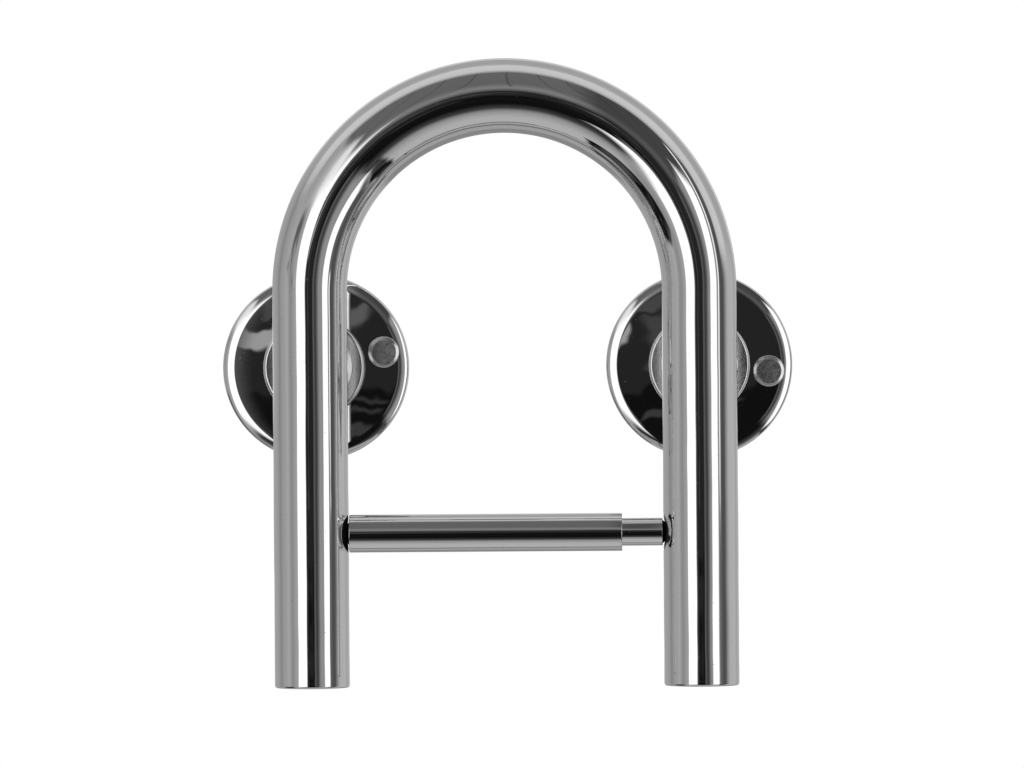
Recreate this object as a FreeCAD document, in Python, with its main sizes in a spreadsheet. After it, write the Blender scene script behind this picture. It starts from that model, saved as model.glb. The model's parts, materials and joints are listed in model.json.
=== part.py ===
import FreeCAD, Part
import Sketcher
import math
import os
import re

# Wall-mounted grab rail with a spring roller between its legs.
# Frame: X runs across (left leg at -X), the front faces -Y, Z is up, all in millimetres.
# The origin lies on the wall plane, midway between the two posts, at their height.

# ---------------------------------------------------------------- driving dimensions

SIZES = {
    # rail
    "tube_outer": 31.75,
    "tube_wall": 1.5,
    "leg_spacing": 165.0,
    "leg_length": 167.9,
    "hand_clearance": 38.0,
    "post_height": 135.9,
    "post_outer": 25.4,
    "post_wall": 1.5,
    "end_plate": 2.5,
    "end_spigot": 4.0,
    "end_edge": 1.0,
    # wall flanges
    "flange_outer": 80.0,
    "flange_rim": 5.7,
    "flange_edge": 1.5,
    "edge_slope": 24.0,
    "flange_shoulder": 12.3,
    "dome_radius": 500.0,
    "flange_wall": 5.0,
    "flange_face": 4.5,
    "land_margin": 0.6,
    "core_wall": 4.0,
    "flange_bearing": 3.5,
    "left_turn": 12.4,
    "right_turn": -5.4,
    "screw_inset": 10.0,
    "screw_bore": 5.5,
    "screw_seat": 3.0,
    "head_bore": 10.6,
    "boss_wall": 2.2,
    "cap_outer": 13.4,
    "cap_sink": 1.4,
    "cap_thick": 2.3,
    "cap_spigot": 2.0,
    "cap_edge": 1.4,
    # hubs and what traps the flanges
    "hub_clear": 1.7,
    "hub_height": 16.0,
    "hub_wall": 2.0,
    "hub_edge_share": 0.16,
    "hub_neck_share": 0.43,
    "hub_lip_share": 0.11,
    "plug_depth": 12.0,
    "spigot_outer": 16.0,
    "thread_outer": 8.0,
    "washer_outer": 24.0,
    "washer_room": 1.0,
    "washer_thick": 1.6,
    "screw_head": 13.0,
    "screw_head_height": 3.0,
    "screw_length": 14.0,
    "hex_across": 5.0,
    "hex_depth": 2.0,
    # roller
    "roller_height": 65.3,
    "sleeve_outer": 16.0,
    "sleeve_wall": 1.0,
    "inner_outer": 11.7,
    "inner_wall": 0.8,
    "inner_length": 72.0,
    "inner_reveal": 17.15,
    "plug_length": 10.0,
    "piston_collar": 6.0,
    "guide_length": 8.0,
    "guide_inset": 0.4,
    "pilot_length": 3.0,
    "tube_edge": 0.3,
    "nib_outer": 6.2,
    "nib_length": 6.0,
    "nib_nose": 2.2,
    "tip_cone": 2.0,
    "tip_base": 10.0,
    "socket_outer": 16.4,
    "socket_length": 11.0,
    "socket_floor": 2.0,
    "dish_outer": 15.2,
    "dish_depth": 3.6,
    "spring_coil": 11.4,
    "spring_wire": 1.1,
    "spring_turns": 14.0,
    "spring_inset": 0.05,
    # clearances
    "turn_play": 0.05,
    "face_play": 0.1,
    "hub_gap": 0.2,
    "end_gap": 0.3,
    "slide_play": 0.08,
    "nib_play": 0.1,
    "cap_play": 0.1,
}

# Sizes worked out from the driving ones.
DERIVED = {
    "leg_place": "leg_spacing / 2",
    "tube_radius": "tube_outer / 2",
    "tube_bore": "tube_outer / 2 - tube_wall",
    "tube_plane": "hand_clearance + tube_radius",
    "arch_centre": "leg_length - post_height",
    "tube_foot": "end_plate - post_height",
    "roller_level": "roller_height - post_height",
    "leg_face": "leg_place - tube_radius",
    "post_radius": "post_outer / 2",
    "post_bore": "post_outer / 2 - post_wall",
    "edge_sine": "sin(edge_slope * 1deg)",
    "edge_cosine": "cos(edge_slope * 1deg)",
    "flange_radius": "flange_outer / 2",
    "shoulder_start": "flange_radius - flange_edge * (1 - edge_sine)",
    "shoulder_foot": "flange_rim + flange_edge * edge_cosine",
    "slope_sine": "(shoulder_start - flange_shoulder * edge_sine) / (dome_radius - flange_shoulder)",
    "slope_cosine": "sqrt(1 - slope_sine ^ 2)",
    "dome_start": "dome_radius * slope_sine",
    "dome_foot": "shoulder_foot + flange_shoulder * (slope_cosine - edge_cosine)",
    "land_radius": "hub_radius - land_margin",
    "dome_rise": "sqrt(dome_radius ^ 2 - land_radius ^ 2) - dome_radius * slope_cosine",
    "flange_height": "dome_foot + dome_rise",
    "relief_floor": "flange_height - flange_face",
    "bearing_floor": "flange_height - flange_bearing",
    "bearing_bore": "spigot_outer / 2 + turn_play",
    "washer_pocket": "washer_outer / 2 + washer_room",
    "core_radius": "washer_pocket + core_wall",
    "screw_radius": "flange_radius - screw_inset",
    "boss_outer": "head_bore + 2 * boss_wall",
    "seat_outer": "cap_outer + 2 * cap_play",
    "cap_seat": "flange_height - cap_sink",
    "washer_top": "bearing_floor - face_play",
    "head_top": "washer_top - washer_thick",
    "head_back": "head_top - screw_head_height",
    "hub_radius": "screw_radius - cap_outer / 2 - hub_clear",
    "hub_step": "hub_radius - post_radius",
    "hub_edge": "hub_step * hub_edge_share",
    "hub_lip": "hub_step * hub_lip_share",
    "hub_neck": "post_radius + hub_step * hub_neck_share",
    "hub_base": "flange_height + hub_gap",
    "hub_shelf": "hub_base + hub_height",
    "hub_cove": "hub_neck - post_radius - hub_lip",
    "hub_top": "hub_shelf + hub_cove",
    "sleeve_radius": "sleeve_outer / 2",
    "sleeve_bore": "sleeve_outer / 2 - sleeve_wall",
    "sleeve_start": "end_gap - leg_face",
    "sleeve_end": "inner_end - inner_reveal",
    "inner_radius": "inner_outer / 2",
    "inner_bore": "inner_outer / 2 - inner_wall",
    "inner_end": "leg_face - end_gap",
    "inner_start": "inner_end - inner_length",
    "nib_radius": "nib_outer / 2",
    "nib_bore": "nib_outer / 2 + nib_play",
    "pilot_radius": "spring_coil / 2 - spring_wire / 2 - nib_play * 3",
    "spring_start": "sleeve_start + plug_length",
    "spring_length": "inner_start - piston_collar - spring_start",
}

VECTOR = FreeCAD.Vector
SIDES = (("left", -1), ("right", 1))

document = FreeCAD.newDocument("GrabRail")
sheet = document.addObject("Spreadsheet::Sheet", "Sizes")
for row, (alias, size) in enumerate(SIZES.items(), start=1):
    sheet.set("A%d" % row, alias)
    sheet.set("B%d" % row, str(size))
    sheet.setAlias("B%d" % row, alias)
document.recompute()


# ---------------------------------------------------------------- helpers

def formula(text):
    """Spell a formula out in the sheet's own cells."""
    def spell(word):
        name = word.group(0)
        if name in DERIVED:
            return "(" + formula(DERIVED[name]) + ")"
        if name in SIZES:
            return "Sizes." + name
        return name
    return re.sub(r"[a-z_]+", spell, text)


def measure(text):
    """Work a formula out to a plain number."""
    result = sheet.evalExpression(formula(text))
    return float(getattr(result, "Value", result))


def bind(thing, **properties):
    """Tie properties to formulas; a double underscore stands for a dot."""
    for name, text in properties.items():
        thing.setExpression(name.replace("__", "."), formula(text))


def new_body(label):
    body = document.addObject("PartDesign::Body", label)
    body.Label = label
    return body


def place(body, x="0", y="0", z="0"):
    bind(body, Placement__Base__x=x, Placement__Base__y=y, Placement__Base__z=z)


def new_sketch(body, name, role, offset=None):
    """Start a sketch on one of the body's own origin planes, moved along its normal."""
    sketch = body.newObject("Sketcher::SketchObject", name)
    plane = [item for item in body.Origin.OriginFeatures if item.Role == role][0]
    sketch.AttachmentSupport = [(plane, "")]
    sketch.MapMode = "FlatFace"
    if offset:
        bind(sketch, AttachmentOffset__Base__z=offset)
    return sketch


def tie_point(sketch, curve, end, x, y):
    """Dimension one point of a curve from the sketch's origin."""
    for kind, text in (("DistanceX", x), ("DistanceY", y)):
        number = sketch.addConstraint(Sketcher.Constraint(kind, -1, 1, curve, end, measure(text)))
        sketch.setExpression("Constraints[%d]" % number, formula(text))


def tie_radius(sketch, curve, text):
    number = sketch.addConstraint(Sketcher.Constraint("Radius", curve, measure(text)))
    sketch.setExpression("Constraints[%d]" % number, formula(text))


def add_circle(sketch, radius, x="0", y="0"):
    centre = VECTOR(measure(x), measure(y), 0)
    curve = sketch.addGeometry(Part.Circle(centre, VECTOR(0, 0, 1), measure(radius)))
    tie_point(sketch, curve, 3, x, y)
    tie_radius(sketch, curve, radius)


def add_arc(sketch, start, end, radius, turn):
    """An arc under a half circle from start to end; turn is 1 for anticlockwise."""
    chord = end - start
    left = VECTOR(-chord.y, chord.x, 0).normalize()
    reach = math.sqrt(max(radius ** 2 - (chord.Length / 2) ** 2, 0))
    centre = (start + end) / 2 + left * reach * turn
    angles = [math.atan2(point.y - centre.y, point.x - centre.x) for point in (start, end)]
    if turn < 0:
        angles.reverse()
    circle = Part.Circle(centre, VECTOR(0, 0, 1), radius)
    return sketch.addGeometry(Part.Arc(circle, angles[0], angles[1]))


def add_outline(sketch, corners, closed=True, half_circle=None):
    """Join corners by lines; a corner that also gives a radius and a turn starts an arc.

    half_circle numbers a corner where a clockwise half circle to the next one runs on
    from the line before it.
    """
    points = [VECTOR(measure(corner[0]), measure(corner[1]), 0) for corner in corners]
    count = len(points)
    ends = []
    for index in range(count if closed else count - 1):
        start = points[index]
        end = points[(index + 1) % count]
        if index == half_circle:
            circle = Part.Circle((start + end) / 2, VECTOR(0, 0, 1), (end - start).Length / 2)
            curve = sketch.addGeometry(Part.Arc(circle, 0, math.pi))
            ends.append((curve, 2, 1))
        elif len(corners[index]) == 4:
            turn = corners[index][3]
            curve = add_arc(sketch, start, end, measure(corners[index][2]), turn)
            ends.append((curve, 1, 2) if turn > 0 else (curve, 2, 1))
        else:
            curve = sketch.addGeometry(Part.LineSegment(start, end))
            ends.append((curve, 1, 2))
    for index, (curve, first, last) in enumerate(ends):
        if closed or index < len(ends) - 1:
            following = ends[(index + 1) % len(ends)]
            kind = "Tangent" if index + 1 == half_circle else "Coincident"
            joint = Sketcher.Constraint(kind, curve, last, following[0], following[1])
            sketch.addConstraint(joint)
        tie_point(sketch, curve, first, corners[index][0], corners[index][1])
        if len(corners[index]) == 4:
            tie_radius(sketch, curve, corners[index][2])
    if not closed:
        tie_point(sketch, ends[-1][0], ends[-1][2], corners[-1][0], corners[-1][1])


def add_polygon(sketch, across, sides=6):
    """A regular polygon of the given size across its flats, centred on the origin."""
    corners = []
    for index in range(sides):
        angle = 360.0 / sides * index
        reach = "%s / 2 / cos(%g deg)" % (across, 180.0 / sides)
        corners.append(("%s * cos(%g deg)" % (reach, angle), "%s * sin(%g deg)" % (reach, angle)))
    add_outline(sketch, corners)


def revolve(body, name, role, corners, axis):
    """Turn an outline all the way round one of its sketch's axes."""
    sketch = new_sketch(body, name + "Profile", role)
    add_outline(sketch, corners)
    turned = body.newObject("PartDesign::Revolution", name)
    turned.Profile = sketch
    turned.ReferenceAxis = (sketch, [axis])
    turned.Angle = 360
    sketch.Visibility = False
    return turned


def turned_about_y(label, corners):
    """A piece round a post axis; each corner is (radius, height off the wall)."""
    body = new_body(label)
    flipped = [(corner[0], "-(" + corner[1] + ")") + tuple(corner[2:]) for corner in corners]
    revolve(body, "Turned", "XY_Plane", flipped, "V_Axis")
    return body


def turned_about_x(label, corners):
    """A piece of the roller; each corner is (place along the axis, radius)."""
    body = new_body(label)
    revolve(body, "Turned", "XZ_Plane", corners, "H_Axis")
    place(body, y="-tube_plane", z="roller_level")
    return body


def pad(body, name, sketch, length):
    feature = body.newObject("PartDesign::Pad", name)
    feature.Profile = sketch
    bind(feature, Length=length)
    sketch.Visibility = False
    return feature


def pocket(body, name, sketch, length, both_ways=False):
    """Cut against the sketch's normal, or half the length each way."""
    feature = body.newObject("PartDesign::Pocket", name)
    feature.Profile = sketch
    feature.Midplane = both_ways
    bind(feature, Length=length)
    sketch.Visibility = False
    return feature


def volume_of(body):
    document.recompute()
    return body.Shape.Volume


def require_change(body, volume_before):
    """Stop if the last feature left the body as it was."""
    if abs(volume_of(body) - volume_before) < 0.5:
        raise RuntimeError(body.Label + ": a feature changed nothing")


def require_cut(body, volume_before):
    """Stop unless the last feature took material away."""
    if volume_of(body) > volume_before - 0.5:
        raise RuntimeError(body.Label + ": a cut removed nothing")


# ---------------------------------------------------------------- rail

def make_rail_tube():
    """One tube: up the left leg, over the half-circle arch and down the right leg."""
    body = new_body("rail_tube")
    place(body, y="-tube_plane")
    path = new_sketch(body, "Centreline", "XZ_Plane")
    add_outline(path, [
        ("-leg_place", "tube_foot"),
        ("-leg_place", "arch_centre"),
        ("leg_place", "arch_centre"),
        ("leg_place", "tube_foot"),
    ], closed=False, half_circle=1)
    section = new_sketch(body, "Section", "XY_Plane", offset="tube_foot")
    add_circle(section, "tube_radius", x="-leg_place")
    add_circle(section, "tube_bore", x="-leg_place")
    document.recompute()
    pipe = body.newObject("PartDesign::AdditivePipe", "BentTube")
    pipe.Profile = section
    pipe.Spine = (path, ["Edge1", "Edge2", "Edge3"])
    path.Visibility = False
    section.Visibility = False
    full_volume = volume_of(body)
    hole = new_sketch(body, "SocketHole", "YZ_Plane")
    add_circle(hole, "socket_outer / 2", y="roller_level")
    pocket(body, "SocketHoles", hole, "leg_spacing", both_ways=True)
    require_cut(body, full_volume)


def make_end_cap(side, sign):
    """A disc closing the leg, with a rounded lower edge and a spigot up the bore."""
    body = new_body(side + "_end_cap")
    place(body, x="%d * leg_place" % sign, y="-tube_plane", z="-post_height")
    revolve(body, "Turned", "XZ_Plane", [
        ("0", "0"),
        ("tube_radius - end_edge", "0", "end_edge", 1),
        ("tube_radius", "end_edge"),
        ("tube_radius", "end_plate"),
        ("tube_bore", "end_plate"),
        ("tube_bore", "end_plate + end_spigot"),
        ("0", "end_plate + end_spigot"),
    ], "V_Axis")


def make_post(side, sign):
    """A stand-off tube from the hub to the back of the leg, coped to the leg's curve."""
    body = new_body(side + "_post")
    place(body, x="%d * leg_place" % sign)
    ring = new_sketch(body, "Ring", "XZ_Plane", offset="hub_base")
    add_circle(ring, "post_radius")
    add_circle(ring, "post_bore")
    pad(body, "Tube", ring, "tube_plane - hub_base")
    full_volume = volume_of(body)
    leg = new_sketch(body, "Leg", "XY_Plane")
    add_circle(leg, "tube_radius", y="-tube_plane")
    pocket(body, "Cope", leg, "2 * post_outer", both_ways=True)
    require_cut(body, full_volume)


# ---------------------------------------------------------------- hubs and retainers

def make_hub(side, sign):
    """A cup round the post: a straight side, a rounded edge, a shelf and a cove up to a lip."""
    body = turned_about_y(side + "_hub", [
        ("post_radius", "hub_shelf - hub_wall"),
        ("hub_radius - hub_wall", "hub_shelf - hub_wall"),
        ("hub_radius - hub_wall", "hub_base"),
        ("hub_radius", "hub_base"),
        ("hub_radius", "hub_shelf - hub_edge", "hub_edge", -1),
        ("hub_radius - hub_edge", "hub_shelf"),
        ("hub_neck", "hub_shelf", "hub_cove", 1),
        ("post_radius + hub_lip", "hub_top"),
        ("post_radius", "hub_top"),
    ])
    place(body, x="%d * leg_place" % sign)


def make_post_plug(side, sign):
    """A threaded insert: a body in the post's bore and a spigot that the flange turns on."""
    body = turned_about_y(side + "_post_plug", [
        ("thread_outer / 2", "washer_top"),
        ("spigot_outer / 2", "washer_top"),
        ("spigot_outer / 2", "hub_base"),
        ("post_bore", "hub_base"),
        ("post_bore", "hub_base + plug_depth"),
        ("thread_outer / 2", "hub_base + plug_depth"),
    ])
    place(body, x="%d * leg_place" % sign)


def make_retaining_washer(side, sign):
    body = turned_about_y(side + "_retaining_washer", [
        ("thread_outer / 2", "head_top"),
        ("washer_outer / 2", "head_top"),
        ("washer_outer / 2", "washer_top"),
        ("thread_outer / 2", "washer_top"),
    ])
    place(body, x="%d * leg_place" % sign)


def make_retaining_screw(side, sign):
    """A low-head screw driven from behind with a hexagon key."""
    body = turned_about_y(side + "_retaining_screw", [
        ("0", "head_back"),
        ("screw_head / 2", "head_back"),
        ("screw_head / 2", "head_top"),
        ("thread_outer / 2", "head_top"),
        ("thread_outer / 2", "head_top + screw_length"),
        ("0", "head_top + screw_length"),
    ])
    place(body, x="%d * leg_place" % sign)
    full_volume = volume_of(body)
    hexagon = new_sketch(body, "Hexagon", "XZ_Plane", offset="head_back + hex_depth")
    add_polygon(hexagon, "hex_across")
    pocket(body, "KeySocket", hexagon, "hex_depth + screw_head_height")
    require_cut(body, full_volume)


# ---------------------------------------------------------------- flanges

def make_flange(side, sign):
    """A domed disc, relieved behind, with bosses for three screws a quarter turn apart.

    Under the hub the dome gives way to a flat land.
    """
    body = turned_about_y(side + "_flange", [
        ("bearing_bore", "bearing_floor"),
        ("washer_pocket", "bearing_floor"),
        ("washer_pocket", "0"),
        ("core_radius", "0"),
        ("core_radius", "relief_floor"),
        ("flange_radius - flange_wall", "relief_floor"),
        ("flange_radius - flange_wall", "0"),
        ("flange_radius", "0"),
        ("flange_radius", "flange_rim", "flange_edge", -1),
        ("shoulder_start", "shoulder_foot", "flange_shoulder", -1),
        ("dome_start", "dome_foot", "dome_radius", -1),
        ("land_radius", "flange_height"),
        ("bearing_bore", "flange_height"),
    ])
    volume = volume_of(body)
    features = []
    for name, offset, diameter, depth in (
            ("Boss", None, "boss_outer", "relief_floor"),
            ("CapSeat", "flange_height", "seat_outer", "cap_sink"),
            ("HeadBore", "flange_height", "head_bore", "flange_height - screw_seat"),
            ("ScrewBore", "flange_height", "screw_bore", "flange_height")):
        sketch = new_sketch(body, name + "Circle", "XZ_Plane", offset=offset)
        add_circle(sketch, diameter + " / 2", y="screw_radius")
        maker = pocket if offset else pad
        features.append(maker(body, name, sketch, depth))
        require_change(body, volume)
        volume = volume_of(body)
    pattern = body.newObject("PartDesign::PolarPattern", "ThreeScrews")
    pattern.Originals = features
    axis = [item for item in body.Origin.OriginFeatures if item.Role == "Y_Axis"][0]
    pattern.Axis = (axis, [""])
    pattern.Angle = 180
    pattern.Occurrences = 3
    body.Tip = pattern
    require_change(body, volume)
    body.Placement = FreeCAD.Placement(VECTOR(), FreeCAD.Rotation(VECTOR(0, -1, 0), 1))
    place(body, x="%d * leg_place" % sign)
    bind(body, Placement__Rotation__Angle=side + "_turn")


def make_screw_caps(side, sign):
    """Covers over the screw heads: a flat lid with a rounded edge and a snap-in spigot."""
    for number, quarter in enumerate((90, 0, -90), start=1):
        body = turned_about_y("%s_screw_cap_%d" % (side, number), [
            ("0", "cap_seat - cap_spigot"),
            ("head_bore / 2 - cap_play", "cap_seat - cap_spigot"),
            ("head_bore / 2 - cap_play", "cap_seat"),
            ("cap_outer / 2", "cap_seat"),
            ("cap_outer / 2", "cap_seat + cap_thick - cap_edge", "cap_edge", -1),
            ("cap_outer / 2 - cap_edge", "cap_seat + cap_thick"),
            ("0", "cap_seat + cap_thick"),
        ])
        angle = "(%s_turn + %d) * 1deg" % (side, quarter)
        place(body, x="%d * leg_place + screw_radius * cos(%s)" % (sign, angle),
              z="screw_radius * sin(%s)" % angle)


# ---------------------------------------------------------------- roller

def make_roller_socket(side, sign):
    """A bush in the leg: a dish that guides the roller's nib into a blind hole.

    It starts outside the leg and is then trimmed to the leg's curve.
    """
    body = new_body(side + "_roller_socket")
    revolve(body, "Turned", "XZ_Plane", [
        ("-socket_floor", "dish_outer / 2"),
        ("-socket_floor", "socket_outer / 2"),
        ("socket_length", "socket_outer / 2"),
        ("socket_length", "0"),
        ("socket_length - socket_floor", "0"),
        ("socket_length - socket_floor", "nib_bore"),
        ("dish_depth", "nib_bore"),
    ], "H_Axis")
    full_volume = volume_of(body)
    outside = new_sketch(body, "OutsideLeg", "XY_Plane")
    add_circle(outside, "tube_radius", x="tube_radius")
    add_circle(outside, "tube_outer", x="tube_radius")
    pocket(body, "LegCurve", outside, "2 * socket_outer", both_ways=True)
    require_cut(body, full_volume)
    half_turns = (1 - sign) / 2
    body.Placement = FreeCAD.Placement(VECTOR(), FreeCAD.Rotation(VECTOR(0, 0, 1), 180 * half_turns))
    place(body, x="%d * leg_face" % sign, y="-tube_plane", z="roller_level")


def make_tube_piece(label, start, end, bore, radius, edge="tube_edge"):
    """A plain length of tube with its outer edges broken."""
    turned_about_x(label, [
        (start, bore),
        (start, "%s - %s" % (radius, edge), edge, -1),
        ("%s + %s" % (start, edge), radius),
        ("%s - %s" % (end, edge), radius, edge, -1),
        (end, "%s - %s" % (radius, edge)),
        (end, bore),
    ])


def make_tip(label, face, sign, plug_radius):
    """An end plug with a cone and a round-nosed nib that points the way of sign."""
    cone_end = "%s + %d * tip_cone" % (face, sign)
    nib_end = "%s + %d * (tip_cone + nib_length)" % (face, sign)
    turned_about_x(label, [
        ("%s - %d * plug_length" % (face, sign), "0"),
        ("%s - %d * plug_length" % (face, sign), plug_radius),
        (face, plug_radius),
        (face, "tip_base / 2"),
        (cone_end, "nib_radius"),
        ("%s - %d * nib_nose" % (nib_end, sign), "nib_radius", "nib_nose", -sign),
        (nib_end, "nib_radius - nib_nose"),
        (nib_end, "0"),
    ])


def make_roller_piston():
    """A collar on the inner tube's hidden end: it slides in the sleeve and takes the spring."""
    turned_about_x("roller_piston", [
        ("inner_start - piston_collar - pilot_length", "0"),
        ("inner_start - piston_collar - pilot_length", "pilot_radius"),
        ("inner_start - piston_collar", "pilot_radius"),
        ("inner_start - piston_collar", "sleeve_bore - slide_play"),
        ("inner_start", "sleeve_bore - slide_play"),
        ("inner_start", "inner_bore"),
        ("inner_start + piston_collar", "inner_bore"),
        ("inner_start + piston_collar", "0"),
    ])


def make_spring():
    """A compression spring between the left tip and the piston."""
    helix = document.addObject("Part::Helix", "SpringLine")
    bind(helix, Radius="spring_coil / 2",
         Height="spring_length - spring_wire - 2 * spring_inset",
         Pitch="(spring_length - spring_wire - 2 * spring_inset) / spring_turns")
    wire = document.addObject("Part::Circle", "SpringWire")
    wire.Placement = FreeCAD.Placement(VECTOR(), FreeCAD.Rotation(VECTOR(1, 0, 0), 90))
    bind(wire, Radius="spring_wire / 2", Placement__Base__x="spring_coil / 2")
    document.recompute()
    spring = document.addObject("Part::Sweep", "roller_spring")
    spring.Label = "roller_spring"
    spring.Sections = [wire]
    spring.Spine = (helix, ["Edge%d" % (index + 1) for index in range(len(helix.Shape.Edges))])
    spring.Solid = True
    spring.Frenet = True
    spring.Placement = FreeCAD.Placement(VECTOR(), FreeCAD.Rotation(VECTOR(0, 1, 0), 90))
    place(spring, x="spring_start + spring_wire / 2 + spring_inset",
          y="-tube_plane", z="roller_level")


# ---------------------------------------------------------------- build and write

make_rail_tube()
for side, sign in SIDES:
    make_end_cap(side, sign)
    make_post(side, sign)
    make_hub(side, sign)
    make_post_plug(side, sign)
    make_retaining_washer(side, sign)
    make_retaining_screw(side, sign)
    make_flange(side, sign)
    make_screw_caps(side, sign)
    make_roller_socket(side, sign)
make_tube_piece("roller_sleeve", "sleeve_start", "sleeve_end", "sleeve_bore", "sleeve_radius")
make_tube_piece("roller_guide", "sleeve_end - guide_inset - guide_length",
                "sleeve_end - guide_inset", "inner_radius + slide_play", "sleeve_bore")
make_tube_piece("roller_inner_tube", "inner_start", "inner_end", "inner_bore", "inner_radius")
make_tip("roller_left_tip", "sleeve_start", -1, "sleeve_bore")
make_tip("roller_right_tip", "inner_end", 1, "inner_bore")
make_roller_piston()
make_spring()
document.recompute()

for item in document.Objects:
    if "Invalid" in item.State or "Error" in item.State:
        raise RuntimeError("%s did not recompute: %s" % (item.Label, item.State))

pieces = [item for item in document.Objects if item.isDerivedFrom("PartDesign::Body")]
pieces.append(document.getObject("roller_spring"))
for piece in pieces:
    if piece.Shape.isNull() or not piece.Shape.isValid():
        raise RuntimeError(piece.Label + " has no valid shape")

os.makedirs("parts", exist_ok=True)
for piece in pieces:
    piece.Shape.exportStep("parts/%s.step" % piece.Label)
print("wrote", len(pieces), "pieces")
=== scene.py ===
import json
import math

import bmesh
import bpy
import numpy as np
from mathutils import Euler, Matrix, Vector, noise


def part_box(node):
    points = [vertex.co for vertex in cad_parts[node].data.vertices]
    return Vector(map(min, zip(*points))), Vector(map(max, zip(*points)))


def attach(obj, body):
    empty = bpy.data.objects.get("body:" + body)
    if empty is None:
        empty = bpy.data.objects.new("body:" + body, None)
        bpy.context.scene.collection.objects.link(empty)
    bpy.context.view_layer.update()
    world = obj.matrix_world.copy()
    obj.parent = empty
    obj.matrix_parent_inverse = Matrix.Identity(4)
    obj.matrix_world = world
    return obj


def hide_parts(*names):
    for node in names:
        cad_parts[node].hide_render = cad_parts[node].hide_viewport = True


# Looks of a polished grab rail on two turning wall flanges, with a spring roller between its legs.
# Metres. X runs across, the front faces -Y, Z is up, and the wall is the plane Y = 0.

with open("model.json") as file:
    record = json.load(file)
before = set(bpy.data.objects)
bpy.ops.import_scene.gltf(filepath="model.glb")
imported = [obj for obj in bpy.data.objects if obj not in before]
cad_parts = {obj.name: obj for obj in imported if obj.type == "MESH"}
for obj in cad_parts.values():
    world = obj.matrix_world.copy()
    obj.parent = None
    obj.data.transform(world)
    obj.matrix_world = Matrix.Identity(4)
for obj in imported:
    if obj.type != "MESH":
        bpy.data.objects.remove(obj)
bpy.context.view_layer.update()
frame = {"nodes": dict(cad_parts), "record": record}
MM = 0.001
SIDES = (("left", -1), ("right", 1))


# ---------------------------------------------------------------- sizes taken from the frame

rail_low, rail_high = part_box("rail_tube")
TUBE_RADIUS = (rail_high.y - rail_low.y) / 2
TUBE_Y = (rail_high.y + rail_low.y) / 2
LEG_X = rail_high.x - TUBE_RADIUS
ARCH_Z = rail_high.z - TUBE_RADIUS - LEG_X
TUBE_FOOT = rail_low.z
TUBE_WALL = 1.5 * MM
LEG_LENGTH = ARCH_Z - TUBE_FOOT

sleeve_low, sleeve_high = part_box("roller_sleeve")
ROLLER_Z = (sleeve_low.z + sleeve_high.z) / 2
SLEEVE_RADIUS = (sleeve_high.z - sleeve_low.z) / 2
SLEEVE_WALL = 1.0 * MM
inner_low, inner_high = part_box("roller_inner_tube")
INNER_RADIUS = (inner_high.z - inner_low.z) / 2
INNER_WALL = 0.8 * MM
SOCKET_RADIUS = 8.2 * MM

flange_low, flange_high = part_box("left_flange")
FLANGE_RADIUS = (flange_high.x - flange_low.x) / 2
FLANGE_HEIGHT = -flange_low.y
hub_low, hub_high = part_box("left_hub")
HUB_RADIUS = (hub_high.x - hub_low.x) / 2
HUB_BASE = -hub_high.y
HUB_TOP = -hub_low.y
post_low, post_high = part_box("left_post")
POST_RADIUS = (post_high.x - post_low.x) / 2
POST_WALL = 1.5 * MM
SCREW_RADIUS = 4 * MM
cap_low, cap_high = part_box("left_screw_cap_1")
CAP_RADIUS = (cap_high.x - cap_low.x) / 2
CAP_TOP = -cap_low.y
SCREW_CIRCLE = 30.0 * MM

AXIS_X = Vector((1, 0, 0))
AXIS_Z = Vector((0, 0, 1))
OFF_WALL = Vector((0, -1, 0))


# ---------------------------------------------------------------- profiles with exact normals

def rounded(corners, steps=5):
    """Turn (radius, height, fillet) corners into (radius, height, normal, normal) points.

    The solid lies on the left of the way round, so normals point right. The last corner
    joins the first.
    """
    points = []
    count = len(corners)
    for index, (r, h, fillet) in enumerate(corners):
        here = Vector((r, h))
        before = (here - Vector(corners[index - 1][:2])).normalized()
        after = (Vector(corners[(index + 1) % count][:2]) - here).normalized()
        turn = math.atan2(before.x * after.y - before.y * after.x, before.dot(after))
        if r <= 0:
            points.append((0.0, h, 0.0, 1.0 if before.x < 0 else -1.0))
            continue
        cut = fillet * math.tan(abs(turn) / 2)
        start = here - before * cut
        normal = Vector((before.y, -before.x))
        centre = start - normal * fillet * math.copysign(1, turn)
        for step in range(steps + 1):
            angle = turn * step / steps
            way = Vector((normal.x * math.cos(angle) - normal.y * math.sin(angle),
                          normal.x * math.sin(angle) + normal.y * math.cos(angle)))
            spot = centre + way * fillet * math.copysign(1, turn)
            points.append((spot.x, spot.y, way.x, way.y))
    return points


def arc_points(centre_r, centre_h, radius, start, end, steps):
    """Points of an outer arc, from one angle to the other, in degrees from the radius axis."""
    points = []
    for step in range(steps + 1):
        angle = math.radians(start + (end - start) * step / steps)
        way = (math.cos(angle), math.sin(angle))
        points.append((centre_r + radius * way[0], centre_h + radius * way[1], *way))
    return points


def side_directions(axis):
    """Two directions square to the axis and to each other."""
    first = AXIS_Z if abs(axis.z) < 0.5 else AXIS_X
    return first, axis.cross(first)


def new_object(name, mesh):
    piece = bpy.data.objects.new(name, mesh)
    bpy.context.scene.collection.objects.link(piece)
    return piece


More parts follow.
